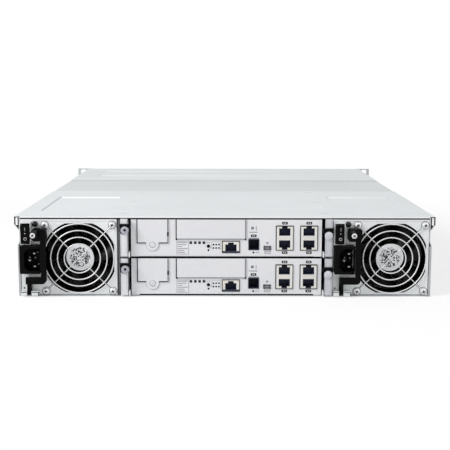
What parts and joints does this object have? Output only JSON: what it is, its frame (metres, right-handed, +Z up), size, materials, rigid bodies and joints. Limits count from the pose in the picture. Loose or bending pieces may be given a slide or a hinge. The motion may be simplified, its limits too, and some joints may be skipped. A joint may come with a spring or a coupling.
{
  "type": "disk shelf enclosure",
  "caption": "Two-unit rack enclosure for hot-plug disks, with redundant power supplies with wire-guarded fans and two storage controllers at its rear.",
  "frame": {"origin": "bottom centre of the bounding box of the whole shelf", "axes": "+X to the right seen from the rear, +Y from the rear to the drive side, +Z up"},
  "size_m": [0.4826, 0.637, 0.0861],
  "materials": {
    "steel_sheet": "satin",
    "nickel_sheet": "satin",
    "white_sheet": "satin",
    "grey_metal": "satin",
    "chrome_wire": "polished",
    "steel_screw": "satin",
    "black_plastic": "matte",
    "port_metal": "satin",
    "circuit_board": "satin",
    "drive_carrier": "matte"
  },
  "bodies": {
    "chassis": {"chassis_tray": "steel_sheet", "rear_cover": "steel_sheet", "middle_plate": "steel_sheet", "front_cover": "steel_sheet", "bay_frame": "steel_sheet", "disk_cage": "steel_sheet", "midplane_board": "circuit_board", "board_sockets": "black_plastic", "mounting_ear_left": "grey_metal", "mounting_ear_right": "grey_metal"},
    "drive_01": {"drive_module_01": "drive_carrier"},
    "drive_02": {"drive_module_02": "drive_carrier"},
    "drive_03": {"drive_module_03": "drive_carrier"},
    "drive_04": {"drive_module_04": "drive_carrier"},
    "drive_05": {"drive_module_05": "drive_carrier"},
    "drive_06": {"drive_module_06": "drive_carrier"},
    "drive_07": {"drive_module_07": "drive_carrier"},
    "drive_08": {"drive_module_08": "drive_carrier"},
    "drive_09": {"drive_module_09": "drive_carrier"},
    "drive_10": {"drive_module_10": "drive_carrier"},
    "drive_11": {"drive_module_11": "drive_carrier"},
    "drive_12": {"drive_module_12": "drive_carrier"},
    "psu_left": {"psu_left_case": "nickel_sheet", "psu_left_fan_frame": "black_plastic", "psu_left_fan_guard": "chrome_wire", "psu_left_fan_screws": "steel_screw", "psu_left_inlet": "black_plastic"},
    "psu_left_rotor": {"psu_left_fan_rotor": "black_plastic"},
    "psu_left_rocker": {"psu_left_switch": "black_plastic"},
    "psu_left_handle": {"psu_left_lever": "black_plastic"},
    "psu_right": {"psu_right_case": "nickel_sheet", "psu_right_fan_frame": "black_plastic", "psu_right_fan_guard": "chrome_wire", "psu_right_fan_screws": "steel_screw", "psu_right_inlet": "black_plastic"},
    "psu_right_rotor": {"psu_right_fan_rotor": "black_plastic"},
    "psu_right_rocker": {"psu_right_switch": "black_plastic"},
    "psu_right_handle": {"psu_right_lever": "black_plastic"},
    "controller_lower": {"controller_lower_case": "white_sheet", "controller_lower_board": "circuit_board", "controller_lower_battery_cover": "white_sheet", "controller_lower_slot_cover": "white_sheet", "controller_lower_network_jacks": "port_metal", "controller_lower_service_ports": "port_metal"},
    "controller_lower_button_body": {"controller_lower_button": "black_plastic"},
    "controller_lower_handle_left": {"controller_lower_ejector_left": "steel_sheet", "controller_lower_latch_left": "black_plastic"},
    "controller_lower_handle_right": {"controller_lower_ejector_right": "steel_sheet", "controller_lower_latch_right": "black_plastic"},
    "controller_upper": {"controller_upper_case": "white_sheet", "controller_upper_board": "circuit_board", "controller_upper_battery_cover": "white_sheet", "controller_upper_slot_cover": "white_sheet", "controller_upper_network_jacks": "port_metal", "controller_upper_service_ports": "port_metal"},
    "controller_upper_button_body": {"controller_upper_button": "black_plastic"},
    "controller_upper_handle_left": {"controller_upper_ejector_left": "steel_sheet", "controller_upper_latch_left": "black_plastic"},
    "controller_upper_handle_right": {"controller_upper_ejector_right": "steel_sheet", "controller_upper_latch_right": "black_plastic"}
  },
  "joints": [
    {"name": "drive_01_slide", "type": "slide", "parent": "chassis", "child": "drive_01", "axis": [0, 1, 0], "range_m": [0, 0.2]},
    {"name": "drive_02_slide", "type": "slide", "parent": "chassis", "child": "drive_02", "axis": [0, 1, 0], "range_m": [0, 0.2]},
    {"name": "drive_03_slide", "type": "slide", "parent": "chassis", "child": "drive_03", "axis": [0, 1, 0], "range_m": [0, 0.2]},
    {"name": "drive_04_slide", "type": "slide", "parent": "chassis", "child": "drive_04", "axis": [0, 1, 0], "range_m": [0, 0.2]},
    {"name": "drive_05_slide", "type": "slide", "parent": "chassis", "child": "drive_05", "axis": [0, 1, 0], "range_m": [0, 0.2]},
    {"name": "drive_06_slide", "type": "slide", "parent": "chassis", "child": "drive_06", "axis": [0, 1, 0], "range_m": [0, 0.2]},
    {"name": "drive_07_slide", "type": "slide", "parent": "chassis", "child": "drive_07", "axis": [0, 1, 0], "range_m": [0, 0.2]},
    {"name": "drive_08_slide", "type": "slide", "parent": "chassis", "child": "drive_08", "axis": [0, 1, 0], "range_m": [0, 0.2]},
    {"name": "drive_09_slide", "type": "slide", "parent": "chassis", "child": "drive_09", "axis": [0, 1, 0], "range_m": [0, 0.2]},
    {"name": "drive_10_slide", "type": "slide", "parent": "chassis", "child": "drive_10", "axis": [0, 1, 0], "range_m": [0, 0.2]},
    {"name": "drive_11_slide", "type": "slide", "parent": "chassis", "child": "drive_11", "axis": [0, 1, 0], "range_m": [0, 0.2]},
    {"name": "drive_12_slide", "type": "slide", "parent": "chassis", "child": "drive_12", "axis": [0, 1, 0], "range_m": [0, 0.2]},
    {"name": "psu_left_slide", "type": "slide", "parent": "chassis", "child": "psu_left", "axis": [0, -1, 0], "range_m": [0, 0.3]},
    {"name": "psu_left_fan_spin", "type": "hinge", "parent": "psu_left", "child": "psu_left_rotor", "pos_m": [-0.1553, -0.2745, 0.0415], "axis": [0, 1, 0], "continuous": true},
    {"name": "psu_left_rocker_tilt", "type": "hinge", "parent": "psu_left", "child": "psu_left_rocker", "pos_m": [-0.2109, -0.295, 0.06865], "axis": [1, 0, 0], "range_deg": [-10, 0]},
    {"name": "psu_left_lever_swing", "type": "hinge", "parent": "psu_left", "child": "psu_left_handle", "pos_m": [-0.2053, -0.2921, 0.0046], "axis": [1, 0, 0], "range_deg": [0, 45]},
    {"name": "psu_right_slide", "type": "slide", "parent": "chassis", "child": "psu_right", "axis": [0, -1, 0], "range_m": [0, 0.3]},
    {"name": "psu_right_fan_spin", "type": "hinge", "parent": "psu_right", "child": "psu_right_rotor", "pos_m": [0.177, -0.2745, 0.0415], "axis": [0, 1, 0], "continuous": true},
    {"name": "psu_right_rocker_tilt", "type": "hinge", "parent": "psu_right", "child": "psu_right_rocker", "pos_m": [0.1214, -0.295, 0.06865], "axis": [1, 0, 0], "range_deg": [-10, 0]},
    {"name": "psu_right_lever_swing", "type": "hinge", "parent": "psu_right", "child": "psu_right_handle", "pos_m": [0.127, -0.2921, 0.0046], "axis": [1, 0, 0], "range_deg": [0, 45]},
    {"name": "controller_lower_slide", "type": "slide", "parent": "chassis", "child": "controller_lower", "axis": [0, -1, 0], "range_m": [0, 0.3]},
    {"name": "controller_lower_button_press", "type": "slide", "parent": "controller_lower", "child": "controller_lower_button_body", "axis": [0, 1, 0], "range_m": [0, 0.0008], "stiffness_N_per_m": 400},
    {"name": "controller_lower_ejector_left_swing", "type": "hinge", "parent": "controller_lower", "child": "controller_lower_handle_left", "pos_m": [-0.1069, -0.2919, 0.0042], "axis": [1, 0, 0], "range_deg": [0, 80]},
    {"name": "controller_lower_ejector_right_swing", "type": "hinge", "parent": "controller_lower", "child": "controller_lower_handle_right", "pos_m": [0.1101, -0.2919, 0.0042], "axis": [1, 0, 0], "range_deg": [0, 80]},
    {"name": "controller_upper_slide", "type": "slide", "parent": "chassis", "child": "controller_upper", "axis": [0, -1, 0], "range_m": [0, 0.3]},
    {"name": "controller_upper_button_press", "type": "slide", "parent": "controller_upper", "child": "controller_upper_button_body", "axis": [0, 1, 0], "range_m": [0, 0.0008], "stiffness_N_per_m": 400},
    {"name": "controller_upper_ejector_left_swing", "type": "hinge", "parent": "controller_upper", "child": "controller_upper_handle_left", "pos_m": [-0.1069, -0.2919, 0.0461], "axis": [1, 0, 0], "range_deg": [0, 80]},
    {"name": "controller_upper_ejector_right_swing", "type": "hinge", "parent": "controller_upper", "child": "controller_upper_handle_right", "pos_m": [0.1101, -0.2919, 0.0461], "axis": [1, 0, 0], "range_deg": [0, 80]}
  ]
}
